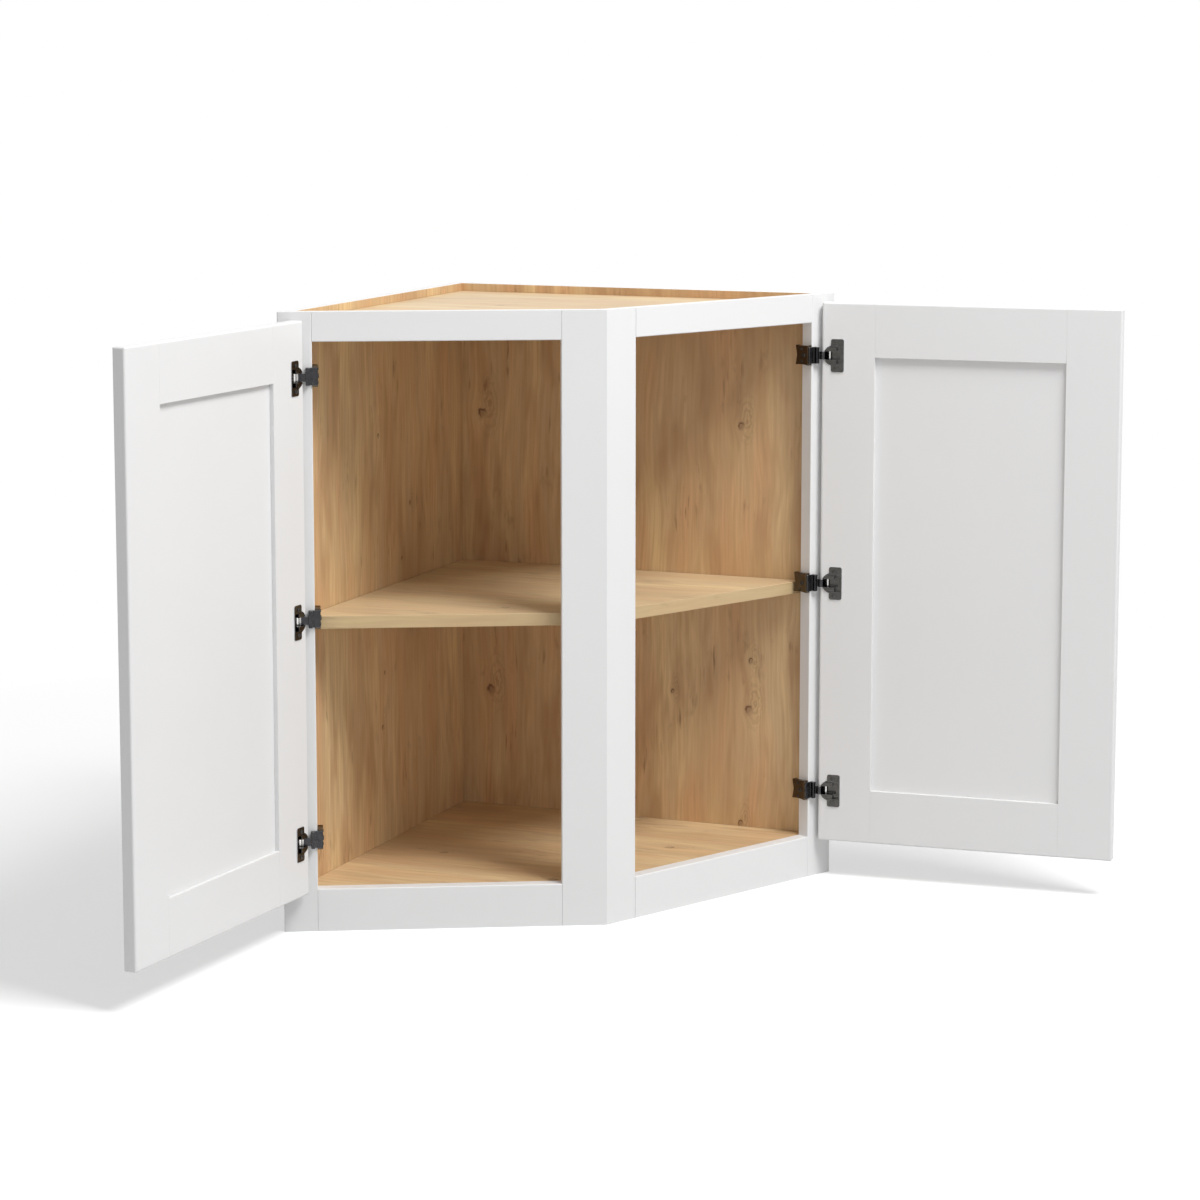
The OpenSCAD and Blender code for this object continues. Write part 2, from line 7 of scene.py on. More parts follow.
import bmesh
import bpy
import numpy as np
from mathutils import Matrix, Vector

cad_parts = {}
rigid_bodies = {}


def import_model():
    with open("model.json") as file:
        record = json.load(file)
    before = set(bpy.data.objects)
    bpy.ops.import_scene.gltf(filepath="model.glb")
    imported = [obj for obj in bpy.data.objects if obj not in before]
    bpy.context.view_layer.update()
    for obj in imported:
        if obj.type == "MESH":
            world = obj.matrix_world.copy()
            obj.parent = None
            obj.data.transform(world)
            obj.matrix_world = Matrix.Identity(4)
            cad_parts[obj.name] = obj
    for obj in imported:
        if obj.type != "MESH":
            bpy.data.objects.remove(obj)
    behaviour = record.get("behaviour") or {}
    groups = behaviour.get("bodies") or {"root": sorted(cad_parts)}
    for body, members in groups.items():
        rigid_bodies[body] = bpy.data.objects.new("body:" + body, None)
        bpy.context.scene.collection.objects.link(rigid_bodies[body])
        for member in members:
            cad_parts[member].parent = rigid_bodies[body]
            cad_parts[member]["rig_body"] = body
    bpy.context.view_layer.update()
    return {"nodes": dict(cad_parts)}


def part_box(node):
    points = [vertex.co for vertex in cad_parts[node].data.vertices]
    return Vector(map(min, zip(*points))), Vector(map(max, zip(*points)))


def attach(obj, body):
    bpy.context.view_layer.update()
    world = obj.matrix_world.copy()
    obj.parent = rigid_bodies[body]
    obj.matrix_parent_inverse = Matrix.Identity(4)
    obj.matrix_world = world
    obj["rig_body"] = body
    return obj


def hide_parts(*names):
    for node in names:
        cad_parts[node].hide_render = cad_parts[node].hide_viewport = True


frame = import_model()


# Side panel and back panel: veneered boards, lacquered white outside and on their edges, and
# clear-coated inside. They are grooved for the top and the floor and meet at the rear corner.
PANEL_THICK = 0.015
BOARD_EDGE = 0.0007
SAME_CORNER = 0.00001
SHARP_ANGLE = math.radians(30)


def joined(node):
    """The node's loose triangles as one closed mesh: corners that lie within a hundredth of a
    millimetre become one."""
    made = bmesh.new()
    made.from_mesh(frame["nodes"][node].data)
    bmesh.ops.remove_doubles(made, verts=made.verts, dist=SAME_CORNER)
    mesh = bpy.data.meshes.new("finished_" + node)
    made.to_mesh(mesh)
    made.free()
    return mesh


def finished(node, materials, edge, steps=2, pick=None, edge_highlight=None):
    """The node as it leaves the finisher: its joined mesh, with every edge that turns by more
    than the sharp angle rounded over a width of edge, in so many steps. pick says which of the
    materials each face has, from the faces' normals and middles, and the rounded edges take the
    edge highlight material, if any: a paler tone that paints highlights along them."""
    mesh = joined(node)
    for material in materials:
        mesh.materials.append(material)
    normals = np.empty(len(mesh.polygons) * 3)
    middles = np.empty(len(mesh.polygons) * 3)
    mesh.polygons.foreach_get("normal", normals)
    mesh.polygons.foreach_get("center", middles)
    if pick:
        chosen = pick(normals.reshape(-1, 3), middles.reshape(-1, 3)).astype(np.int32)
        mesh.polygons.foreach_set("material_index", chosen)
    mesh.polygons.foreach_set("use_smooth", np.ones(len(mesh.polygons), bool))
    piece = bpy.data.objects.new("finished_" + node, mesh)
    bpy.context.scene.collection.objects.link(piece)
    ease = piece.modifiers.new("eased edges", "BEVEL")
    ease.width = edge
    ease.segments = steps
    ease.limit_method = "ANGLE"
    ease.angle_limit = SHARP_ANGLE
    ease.loop_slide = False
    ease.use_clamp_overlap = False
    # The rounded edges take one more material, a paler tone that paints highlights along them.
    if edge_highlight:
        mesh.materials.append(edge_highlight)
        ease.material = len(materials)
    flat = piece.modifiers.new("flat faces stay flat", "WEIGHTED_NORMAL")
    flat.mode = "FACE_AREA"
    flat.weight = 100
    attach(piece, frame["nodes"][node]["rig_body"])
    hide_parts(node)


def recipe(name):
    """A new material, its node tree and its one shader."""
    material = bpy.data.materials.new(name)
    material.use_nodes = True
    tree = material.node_tree
    return material, tree, tree.nodes["Principled BSDF"]


def add(tree, kind, given, **settings):
    """Adds a node with these settings. Each given input is a number or another node's output."""
    made = tree.nodes.new("ShaderNode" + kind)
    for key, value in settings.items():
        setattr(made, key, value)
    for key, value in given.items():
        if isinstance(value, bpy.types.NodeSocket):
            tree.links.new(value, made.inputs[key])
        else:
            made.inputs[key].default_value = value
    return made


def calc(tree, operation, *values):
    """One step of arithmetic on numbers or outputs."""
    return add(tree, "Math", dict(enumerate(values)), operation=operation).outputs[0]


def spread(tree, value, low, high, start=0.0, end=1.0):
    """Carries value from the range low to high over to start to end: start + (end - start)
    (value - low) / (high - low), held between start and end."""
    given = {"Value": value, "From Min": low, "From Max": high, "To Min": start, "To Max": end}
    return add(tree, "MapRange", given).outputs[0]


def blended(tree, share, below, above):
    """Two colours mixed: below (1 - share) + above share."""
    return add(tree, "Mix", {0: share, 6: below, 7: above}, data_type="RGBA").outputs[2]


def speckle(tree, place, stretch, detail=2.0, roughness=0.5, seed=0.0):
    """Noise with stretch cells to the metre along each axis, moved along by seed."""
    given = {"Vector": place, "Location": (seed, seed, seed), "Scale": stretch}
    scaled = add(tree, "Mapping", given).outputs[0]
    given = {"Vector": scaled, "Scale": 1.0, "Detail": detail, "Roughness": roughness}
    return add(tree, "TexNoise", given).outputs[0]


# The lacquer's two tones, and the wood fibre's cells to the metre for grain along X or Z.
WHITE = (0.775, 0.775, 0.775, 1), (0.80, 0.80, 0.80, 1)
FIBRE = {"X": (9, 420, 420), "Z": (420, 420, 9)}


def lacquer(name, turn, lengthwise):
    """White satin lacquer sprayed on wood: the board's fibre shows through as faint long lines,
    over the fine waves of the sprayed film. turn degrees about Z bring the board's face round to
    run along X, and lengthwise is the axis along which its grain then runs."""
    material, tree, shader = recipe(name)
    spot = add(tree, "TexCoord", {}).outputs["Object"]
    turned = {"Vector": spot, "Rotation": (0, 0, math.radians(turn))}
    place = add(tree, "Mapping", turned).outputs[0]
    grain = speckle(tree, place, FIBRE[lengthwise], detail=3.0)
    film = speckle(tree, place, (520, 520, 520), detail=1.0)
    cloud = speckle(tree, place, (5, 5, 5), detail=2.0)
    tree.links.new(blended(tree, cloud, *WHITE), shader.inputs["Base Color"])
    tree.links.new(spread(tree, cloud, 0.3, 0.7, 0.36, 0.44), shader.inputs["Roughness"])
    height = calc(tree, "ADD", calc(tree, "MULTIPLY", grain, 0.6), film)
    bump = add(tree, "Bump", {"Height": height, "Strength": 0.06, "Distance": 0.0004})
    tree.links.new(bump.outputs[0], shader.inputs["Normal"])
    return material


def knot_group():
    """A small knot in the veneer, in units of its size. d is the distance from its middle, drawn
    out a little along the grain, and away is d made uneven by noise. The grain parts round the
    knot: a place slides towards the middle by 0.85 exp(-d d / 7) of its offset across the grain.
    A dark crescent lies where away is near 0.75, strongest up and to the left, round a softer
    core, and thin sine ripples ring a second middle, up and to the right of the first."""
    group = bpy.data.node_groups.new("veneer knot", "ShaderNodeTree")
    face = group.interface
    taken = {"Place": "Vector", "Middle": "Vector", "Size": "Float", "Dark": "Float"}
    for label, kind in taken.items():
        face.new_socket(label, in_out="INPUT", socket_type="NodeSocket" + kind)
    for label, kind in {"Place": "Vector", "Dark": "Float"}.items():
        face.new_socket(label, in_out="OUTPUT", socket_type="NodeSocket" + kind)
    given = group.nodes.new("NodeGroupInput").outputs
    ends = {0: given["Place"], 1: given["Middle"]}
    offset = add(group, "VectorMath", ends, operation="SUBTRACT").outputs[0]
    wander = speckle(group, given["Place"], (150, 110, 150), detail=2.0)
    parts = add(group, "SeparateXYZ", {0: offset}).outputs
    across = calc(group, "DIVIDE", parts[0], given["Size"])
    along = calc(group, "DIVIDE", parts[1], calc(group, "MULTIPLY", given["Size"], 1.3))
    across_squared = calc(group, "MULTIPLY", across, across)
    square = calc(group, "ADD", across_squared, calc(group, "MULTIPLY", along, along))
    uneven = spread(group, wander, 0.2, 0.8, -0.4, 0.4)
    away = calc(group, "ADD", calc(group, "SQRT", square), uneven)
    pull = calc(group, "EXPONENT", calc(group, "MULTIPLY", square, -1 / 7))
    slide = calc(group, "MULTIPLY", calc(group, "MULTIPLY", parts[0], pull), -0.85)
    aside = add(group, "CombineXYZ", {0: slide}).outputs[0]
    moved = add(group, "VectorMath", {0: given["Place"], 1: aside}, operation="ADD").outputs[0]
    rim = spread(group, calc(group, "ABSOLUTE", calc(group, "SUBTRACT", away, 0.75)), 0.55, 0.1)
    rise = calc(group, "MULTIPLY", along, 0.8)
    lean = calc(group, "SUBTRACT", rise, calc(group, "MULTIPLY", across, 0.6))
    crescent = calc(group, "MULTIPLY", rim, spread(group, lean, -0.7, 0.4, 0.25, 1.0))
    core = spread(group, away, 1.7, 0.3, 0.0, 0.5)
    right = calc(group, "SUBTRACT", across, 1.8)
    up = calc(group, "SUBTRACT", along, 1.6)
    flat = calc(group, "MULTIPLY", calc(group, "MULTIPLY", up, up), 0.25)
    second = calc(group, "ADD", calc(group, "MULTIPLY", right, right), flat)
    uneven = spread(group, wander, 0.2, 0.8, -0.5, 0.5)
    second = calc(group, "ADD", calc(group, "SQRT", second), uneven)
    ripples = calc(group, "ADD", calc(group, "SINE", calc(group, "MULTIPLY", second, 7.0)), 1.0)
    ripples = calc(group, "MULTIPLY", ripples, spread(group, second, 3.6, 0.6, 0.0, 0.17))
    dark = calc(group, "MAXIMUM", calc(group, "MAXIMUM", crescent, core), ripples)
    dark = calc(group, "MAXIMUM", dark, given["Dark"])
    out = group.nodes.new("NodeGroupOutput").inputs
    group.links.new(moved, out["Place"])
    group.links.new(dark, out["Dark"])
    return group


# The veneer's tones, from its yellow ground to the dark of its knots. Then how far its grain
# swerves, in metres, and how the latewood's sine turns: by so much for each metre across, and
# by so much over the whole range of its noise.
TAN, GREY = (0.81, 0.60, 0.32, 1), (0.67, 0.48, 0.27, 1)
PINK, BROWN = (0.70, 0.41, 0.21, 1), (0.48, 0.285, 0.14, 1)
DARK = (0.19, 0.09, 0.042, 1)
SWERVE = 0.03
RINGS_ACROSS, RINGS_WANDER = 900.0, 62.0


def figure_group():
    """The veneer's figure, for grain along Y. Every place first shifts across the grain by up to
    half the swerve, so that nothing runs quite straight. Then come bands of yellow, grey, pink
    and brown a few centimetres wide, finer streaks in them, latewood lines as a fourth power of
    a sine across the grain, sparse dark flecks and soft blots where resin sat, and the fibre.
    Each speckle's stretch is its cells to the metre across, along and out of the veneer."""
    group = bpy.data.node_groups.new("veneer figure", "ShaderNodeTree")
    face = group.interface
    for label, kind in {"Place": "Vector", "Dark": "Float"}.items():
        face.new_socket(label, in_out="INPUT", socket_type="NodeSocket" + kind)
    for label, kind in {"Colour": "Color", "Roughness": "Float", "Height": "Float"}.items():
        face.new_socket(label, in_out="OUTPUT", socket_type="NodeSocket" + kind)
    given = group.nodes.new("NodeGroupInput").outputs
    drift = speckle(group, given["Place"], (9, 3.5, 9), detail=2.0, seed=3.1)
    aside = calc(group, "MULTIPLY", calc(group, "SUBTRACT", drift, 0.5), SWERVE)
    shift = add(group, "CombineXYZ", {0: aside}).outputs[0]
    place = add(group, "VectorMath", {0: given["Place"], 1: shift}, operation="ADD").outputs[0]
    wide = speckle(group, place, (8, 1.6, 8), detail=1.0, seed=1.7)
    bands = speckle(group, place, (46, 4.5, 46), detail=3.0, seed=7.4)
    pink = speckle(group, place, (26, 4.0, 26), detail=3.0, seed=8.3)
    streaks = speckle(group, place, (210, 8.0, 210), detail=3.0, roughness=0.6, seed=5.9)
    fibre = speckle(group, place, (1100, 22, 1100), detail=2.0, seed=2.2)
    flecks = speckle(group, place, (190, 20, 190), detail=1.0, roughness=0.6, seed=6.4)
    blots = speckle(group, place, (70, 26, 70), detail=2.0, roughness=0.6, seed=9.6)
    rare = speckle(group, place, (14, 9, 14), detail=1.0, seed=2.9)
    broad = speckle(group, place, (34, 5.5, 34), detail=2.0, roughness=0.6, seed=12.3)
    ringing = speckle(group, place, (7, 1.4, 7), detail=1.0, seed=4.4)
    across = add(group, "SeparateXYZ", {0: place}).outputs[0]
    turns = calc(group, "MULTIPLY", across, RINGS_ACROSS)
    turns = calc(group, "ADD", turns, calc(group, "MULTIPLY", ringing, RINGS_WANDER))
    lines = calc(group, "POWER", spread(group, calc(group, "SINE", turns), -1.0, 1.0), 4.0)
    lines = calc(group, "MULTIPLY", lines, spread(group, pink, 0.46, 0.66))
    tone = blended(group, spread(group, bands, 0.36, 0.60), TAN, GREY)
    tone = blended(group, spread(group, wide, 0.42, 0.66, 0.0, 0.62), tone, BROWN)
    tone = blended(group, spread(group, pink, 0.48, 0.68, 0.0, 0.75), tone, PINK)
    tone = blended(group, spread(group, broad, 0.52, 0.68, 0.0, 0.75), tone, BROWN)
    tone = blended(group, spread(group, streaks, 0.38, 0.72, 0.0, 0.58), tone, BROWN)
    tone = blended(group, calc(group, "MULTIPLY", lines, 0.32), tone, BROWN)
    sparse = spread(group, rare, 0.52, 0.66)
    spots = calc(group, "MULTIPLY", spread(group, flecks, 0.62, 0.78), sparse)
    tone = blended(group, calc(group, "MULTIPLY", spots, 0.75), tone, DARK)
    clouds = calc(group, "MULTIPLY", spread(group, blots, 0.58, 0.76), sparse)
    tone = blended(group, calc(group, "MULTIPLY", clouds, 0.4), tone, DARK)
    tone = blended(group, spread(group, fibre, 0.3, 0.7, 0.0, 0.16), tone, BROWN)
    tone = blended(group, given["Dark"], tone, DARK)
    out = group.nodes.new("NodeGroupOutput").inputs
    group.links.new(tone, out["Colour"])
    group.links.new(spread(group, streaks, 0.3, 0.7, 0.42, 0.54), out["Roughness"])
    height = calc(group, "ADD", fibre, calc(group, "MULTIPLY", given["Dark"], -0.5))
    group.links.new(height, out["Height"])
    return group


KNOT, FIGURE = knot_group(), figure_group()


def veneer(name, across, along, knots, start=(0, 0, 0), own_tone_or_painted_light=None, share=0.0, turn=0.0):
    """Clear-coated knotty veneer. across and along number the axes that the board's figure takes
    as its own X and Y, once the board is turned about Z by turn degrees, and start shifts the
    figure, so that no two boards match. Each knot is its place across and along in millimetres
    and its size in millimetres. A share of a second tone is mixed into the colour: for the
    lipping this is its own darker tone, and for the top, floor and shelf a pale tone that paints
    the paler, glossier look of their lit upward faces."""
    material, tree, shader = recipe(name)
    spot = add(tree, "TexCoord", {}).outputs["Object"]
    if turn:
        turned = {"Vector": spot, "Rotation": (0, 0, math.radians(turn))}
        spot = add(tree, "Mapping", turned).outputs[0]
    parts = add(tree, "SeparateXYZ", {0: spot}).outputs
    place = add(tree, "CombineXYZ", {0: parts[across], 1: parts[along]}).outputs[0]
    dark = 0.0
    for u, v, size in knots:
        knot = tree.nodes.new("ShaderNodeGroup")
        knot.node_tree = KNOT
        tree.links.new(place, knot.inputs["Place"])
        knot.inputs["Middle"].default_value = (u / 1000, v / 1000, 0)
        knot.inputs["Size"].default_value = size / 1000
        if isinstance(dark, bpy.types.NodeSocket):
            tree.links.new(dark, knot.inputs["Dark"])
        place, dark = knot.outputs["Place"], knot.outputs["Dark"]
    place = add(tree, "Mapping", {"Vector": place, "Location": start}).outputs[0]
    figure = tree.nodes.new("ShaderNodeGroup")
    figure.node_tree = FIGURE
    tree.links.new(place, figure.inputs["Place"])
    if isinstance(dark, bpy.types.NodeSocket):
        tree.links.new(dark, figure.inputs["Dark"])
    colour = figure.outputs["Colour"]
    # The second tone: the lipping's own darker tone, or the flat boards' pale painted light.
    if own_tone_or_painted_light:
        colour = blended(tree, share, colour, own_tone_or_painted_light)
    tree.links.new(colour, shader.inputs["Base Color"])
    tree.links.new(figure.outputs["Roughness"], shader.inputs["Roughness"])
    pores = {"Height": figure.outputs["Height"], "Strength": 0.12, "Distance": 0.0004}
    tree.links.new(add(tree, "Bump", pores).outputs[0], shader.inputs["Normal"])
    return material


# Each knot's place along its wall from the rear corner, its height and its size, in millimetres.
SIDE_KNOTS = ((-312, 236, 3), (-304, 317, 2.5), (-319, 673, 3), (-210, 560, 3), (-240, 480, 2.5))
BACK_KNOTS = (
    (49, 676, 6.5), (62, 243, 6), (472, 674, 5), (489, 317, 3.5), (486, 242, 5.5), (474, 65, 4),
    (364, 262, 3), (200, 520, 3.5), (230, 150, 3.5),
)
BACK_START = (0.37, 0.2, 0)
# How squarely a face looks into the cabinet, and how near to the board's inner face it lies.
FACING, SKIN = 0.7, 0.0005


def inside_side(normals, middles):
    """The side panel's faces that look into the cabinet, but not the bottoms of its grooves."""
    return (normals[:, 0] > FACING) & (middles[:, 0] > PANEL_THICK - SKIN)


def inside_back(normals, middles):
    """The same for the back panel."""
    return (normals[:, 1] < -FACING) & (middles[:, 1] < -PANEL_THICK + SKIN)


white_outside = lacquer("white lacquer on the panels", 0, "Z")
side_veneer = veneer("veneer inside the side panel", 1, 2, SIDE_KNOTS)
finished("side_panel", (white_outside, side_veneer), BOARD_EDGE, pick=inside_side)
back_veneer = veneer("veneer inside the back panel", 0, 2, BACK_KNOTS, BACK_START)
finished("back_panel", (white_outside, back_veneer), BOARD_EDGE, pick=inside_back)


# Top panel, floor panel and shelf: kite-shaped veneered boards with their grain along the back
# panel. The top and the floor are glued into grooves. The shelf lies loose on its pins. Their
# edges carry a lipping, which shows only on the shelf's front.
# Each knot's place along the side panel and along the back panel, and its size, in millimetres.
FLAT_KNOTS = {
    "top_panel": ((-250, 180, 5),),
    "floor_panel": ((-420, 330, 6), (-180, 420, 5), (-330, 120, 5)),
    "shelf": ((-300, 470, 6), (-400, 250, 5), (-150, 300, 5)),
}
FIGURE_STEP = (0.11, 0.3, 0)
# The top, floor and shelf mix in a pale, less yellow tone by these shares. This is painted light:
# it stands in for the paler, glossier look of their lit upward faces.
PAINTED_LIT_TONE, PAINTED_LIT_SHARE = (0.72, 0.68, 0.48, 1), {"top_panel": 0.22, "floor_panel": 0.12, "shelf": 0.28}
EDGE_TONE, EDGE_SHARE = (0.52, 0.40, 0.22, 1), 0.6
EDGE_START, EDGE_TURN = (0.1, 0.4, 0), -45


def lipping(normals, middles):
    """The faces at a board's edges, which stand upright."""
    return np.abs(normals[:, 2]) < 0.5


lip = veneer("lipping of the shelf", 2, 0, (), EDGE_START, EDGE_TONE, EDGE_SHARE, EDGE_TURN)
for number, (board, knots) in enumerate(FLAT_KNOTS.items()):
    start = tuple(number * step for step in FIGURE_STEP)
    faces = veneer(f"veneer of the {board}", 1, 0, knots, start, PAINTED_LIT_TONE, PAINTED_LIT_SHARE[board])
    finished(board, (faces, lip), BOARD_EDGE, pick=lipping)


# Shelf pins: nickel-plated pins, pressed into holes in the two panels.
PIN_EDGE = 0.0003


def plated(name, colour, dull, shiny):
    """Plated steel: the colour runs a little lighter and darker, and the polish between shiny
    and dull, over fine brushing."""
    material, tree, shader = recipe(name)
    spot = add(tree, "TexCoord", {}).outputs["Object"]
    haze = speckle(tree, spot, (160, 160, 160), detail=3.0)
    fine = speckle(tree, spot, (260, 260, 260), detail=2.0, seed=2.7)
    darker = tuple(0.75 * c for c in colour)
    tone = blended(tree, spread(tree, haze, 0.3, 0.7), (*colour, 1), (*darker, 1))
    tree.links.new(tone, shader.inputs["Base Color"])
    tree.links.new(spread(tree, haze, 0.3, 0.7, shiny, dull), shader.inputs["Roughness"])
    bump = add(tree, "Bump", {"Height": fine, "Strength": 0.08, "Distance": 0.0002})
    tree.links.new(bump.outputs[0], shader.inputs["Normal"])
    shader.inputs["Metallic"].default_value = 1.0
    return material


bright = plated("bright nickel", (0.62, 0.61, 0.58), 0.34, 0.22)
finished("shelf_pins", (bright,), PIN_EDGE)


# Glue blocks: short sawn softwood blocks, glued into the corners under the floor panel.
BLOCK_EDGE = 0.0005
EARLY_WOOD, LATE_WOOD = (0.66, 0.50, 0.32, 1), (0.47, 0.32, 0.18, 1)


def sawn(name):
    """Raw sawn softwood: wide early growth and thin late lines, with the saw's marks across."""
    material, tree, shader = recipe(name)
    spot = add(tree, "TexCoord", {}).outputs["Object"]
    grain = speckle(tree, spot, (260, 260, 12), detail=3.0)
    marks = speckle(tree, spot, (30, 30, 900), detail=1.0)
    tone = blended(tree, spread(tree, grain, 0.3, 0.7), EARLY_WOOD, LATE_WOOD)
    tree.links.new(tone, shader.inputs["Base Color"])
    shader.inputs["Roughness"].default_value = 0.8
    height = calc(tree, "ADD", grain, marks)
    bump = add(tree, "Bump", {"Height": height, "Strength": 0.3, "Distance": 0.0005})
    tree.links.new(bump.outputs[0], shader.inputs["Normal"])
    return material


finished("glue_blocks", (sawn("sawn softwood"),), BLOCK_EDGE)


# Face frames: solid stiles and rails, tenoned and glued, lacquered white, so that the joints
# hardly show. The two frames meet in the mitred ridge at the front.
SIDES = ("left", "right")
FACE_DEGREES = 26.25
FACE_TURN = {"left": -FACE_DEGREES, "right": FACE_DEGREES - 90}
FRAME_EDGE = 0.00003

for side in SIDES:
    stile_white = lacquer(f"white lacquer on the {side} stiles", FACE_TURN[side], "Z")
    rail_white = lacquer(f"white lacquer on the {side} rails", FACE_TURN[side], "X")
    for board in ("end_stile", "centre_stile"):
        finished(f"{side}_{board}", (stile_white,), FRAME_EDGE)
    for board in ("top_rail", "bottom_rail"):
        finished(f"{side}_{board}", (rail_white,), FRAME_EDGE)


# Doors: five-piece shaker doors, a flat panel held loose in the grooves of two stiles and two
# rails, lacquered white. They stand open at 120 degrees.
OPEN_DEGREES = 120
DOOR_TURN = {"left": OPEN_DEGREES - FACE_DEGREES, "right": 270 - OPEN_DEGREES + FACE_DEGREES}
DOOR_EDGE = 0.0004

for side in SIDES:
    stile_white = lacquer(f"white lacquer on the {side} door stiles", DOOR_TURN[side], "Z")
    rail_white = lacquer(f"white lacquer on the {side} door rails", DOOR_TURN[side], "X")
    for board in ("hinge_stile", "free_stile", "panel"):
        finished(f"{side}_door_{board}", (stile_white,), DOOR_EDGE)
    for board in ("top_rail", "bottom_rail"):
        finished(f"{side}_door_{board}", (rail_white,), DOOR_EDGE)


# Compact hinges: a pressed cup with a flange in each door, and a cast plate and a folded arm on
# each end stile. The arm's link is bright where it runs into the cup.
LEVELS = ("top", "middle", "bottom")
CUP_EDGE, ARM_EDGE, PLATE_EDGE, HINGE_PIN_EDGE = 0.00025, 0.0003, 0.0009, 0.0002
WALL_SIDE = 0.612
FACE_ANGLE, OPEN_ANGLE = math.radians(FACE_DEGREES), math.radians(OPEN_DEGREES)
# Along the face from its end, and out of the face frame: the pin's axis, and the closed door's
# hinge edge and inner face.
PIVOT_ALONG, PIVOT_OUT = 0.0235, 0.0125
DOOR_EDGE_AT, DOOR_FACE_AT = 0.014, 0.003
LINK_REACH, LINK_FADE = 0.0062, 0.0004
ARM_TONES = (0.065, 0.065, 0.07, 1), (0.05, 0.05, 0.053, 1)
LINK_TONE = (0.86, 0.85, 0.83, 1)
FLANGE = 0.0012


def across_ridge(places, side):
    """The right half mirrors the left about the line y = -x: (x, y, z) becomes (-y, -x, z)."""
    return places if side == "left" else places[..., [1, 0, 2]] * np.array([-1.0, -1.0, 1.0])


def from_front(places, side):
    """From a place on the face frame (along the face from its end, into the cabinet, up) to the
    cabinet's own: the left frame turns by the face's angle about Z and starts at the side
    panel's front."""
    along, inward = places[..., 0], places[..., 1]
    x = along * math.cos(FACE_ANGLE) - inward * math.sin(FACE_ANGLE)
    y = -WALL_SIDE + along * math.sin(FACE_ANGLE) + inward * math.cos(FACE_ANGLE)
    return across_ridge(np.stack([x, y, places[..., 2]], -1), side)


def from_door(places, side):
    """From a place on the closed door (along from its hinge edge, out of its inner face, up) to
    the cabinet's own, once the door has turned about the pin by the angle at which it stands
    open."""
    along = places[..., 0] + DOOR_EDGE_AT - PIVOT_ALONG
    outward = places[..., 1] - DOOR_FACE_AT + PIVOT_OUT
    turned_x = along * math.cos(OPEN_ANGLE) + outward * math.sin(OPEN_ANGLE) + PIVOT_ALONG
    turned_y = -along * math.sin(OPEN_ANGLE) + outward * math.cos(OPEN_ANGLE) - PIVOT_OUT
    return from_front(np.stack([turned_x, turned_y, places[..., 2]], -1), side)


def cut_edges(side):
    """Picks the cut edges of a cup's flange: faces that stand square to the door, no further out
    from it than the flange is thick."""
    middle, outside = from_door(np.array([[0.0, 0.0, 0.0], [0.0, 1.0, 0.0]]), side)
    out = outside - middle

    def pick(normals, middles):
        """height is how far a face's middle lies out of the door's inner face."""
        height = (middles - middle) @ out
        return (np.abs(normals @ out) < 0.3) & (height > 0) & (height < FLANGE)

    return pick


def linked(name, side):
    """Black nickel, but bright where the arm's link lies within reach of the pin's axis."""
    material, tree, shader = recipe(name)
    spot = add(tree, "TexCoord", {}).outputs["Object"]
    pin = from_front(np.array([PIVOT_ALONG, -PIVOT_OUT, 0.0]), side).tolist()
    plan = add(tree, "VectorMath", {0: spot, 1: (1, 1, 0)}, operation="MULTIPLY").outputs[0]
    away = add(tree, "VectorMath", {0: plan, 1: pin}, operation="DISTANCE").outputs["Value"]
    near = spread(tree, away, LINK_REACH, LINK_REACH - LINK_FADE)
    haze = speckle(tree, spot, (160, 160, 160), detail=3.0)
    tone = blended(tree, spread(tree, haze, 0.3, 0.7), *ARM_TONES)
    tone = blended(tree, near, tone, LINK_TONE)
    tree.links.new(tone, shader.inputs["Base Color"])
    tree.links.new(spread(tree, haze, 0.3, 0.7, 0.2, 0.32), shader.inputs["Roughness"])
    bump = add(tree, "Bump", {"Height": haze, "Strength": 0.1, "Distance": 0.0003})
    tree.links.new(bump.outputs[0], shader.inputs["Normal"])
    shader.inputs["Metallic"].default_value = 1.0
    return material


black = plated("black nickel", (0.093, 0.089, 0.083), 0.26, 0.16)
# A paler black nickel for the rounded edges of the arms and cups: it paints highlights along
# them.
painted_highlight_nickel = plated("black nickel with painted highlights at its edges", (0.22, 0.22, 0.225), 0.34, 0.22)
cut = plated("cut edge of the flange", (0.62, 0.63, 0.63), 0.45, 0.35)
bronze = plated("bronzed steel", (0.13, 0.10, 0.07), 0.42, 0.28)

for side in SIDES:
    arm_steel = linked(f"black nickel of the {side} arms", side)
    for level in LEVELS:
        finished(f"{side}_{level}_hinge_plate", (bronze,), PLATE_EDGE, steps=3)
        finished(f"{side}_{level}_hinge_arm", (arm_steel,), ARM_EDGE, edge_highlight=painted_highlight_nickel)
        finished(f"{side}_{level}_hinge_cup", (black, cut), CUP_EDGE,
                 pick=cut_edges(side), edge_highlight=painted_highlight_nickel)
    finished(f"{side}_hinge_pins", (bright,), HINGE_PIN_EDGE)


# Screws: blackened steel with low domed heads and cross recesses. Two hold each cup in the door,
# two hold each plate on the stile, and a larger one clamps the arm in the plate.
# From the door's hinge edge to the cup's screws, and between the two of them.
SCREW_IN, SCREW_PITCH = 0.022, 0.036
# From the end of the face to the plate's own face, from the face frame's front to the plate's
# screws, and between the two of them. The arm's screw stands nearer to the front.
PLATE_FACE, PLATE_SCREW_IN, PLATE_SCREW_PITCH = 0.0565, 0.013, 0.019
ARM_SCREW_IN = 0.009
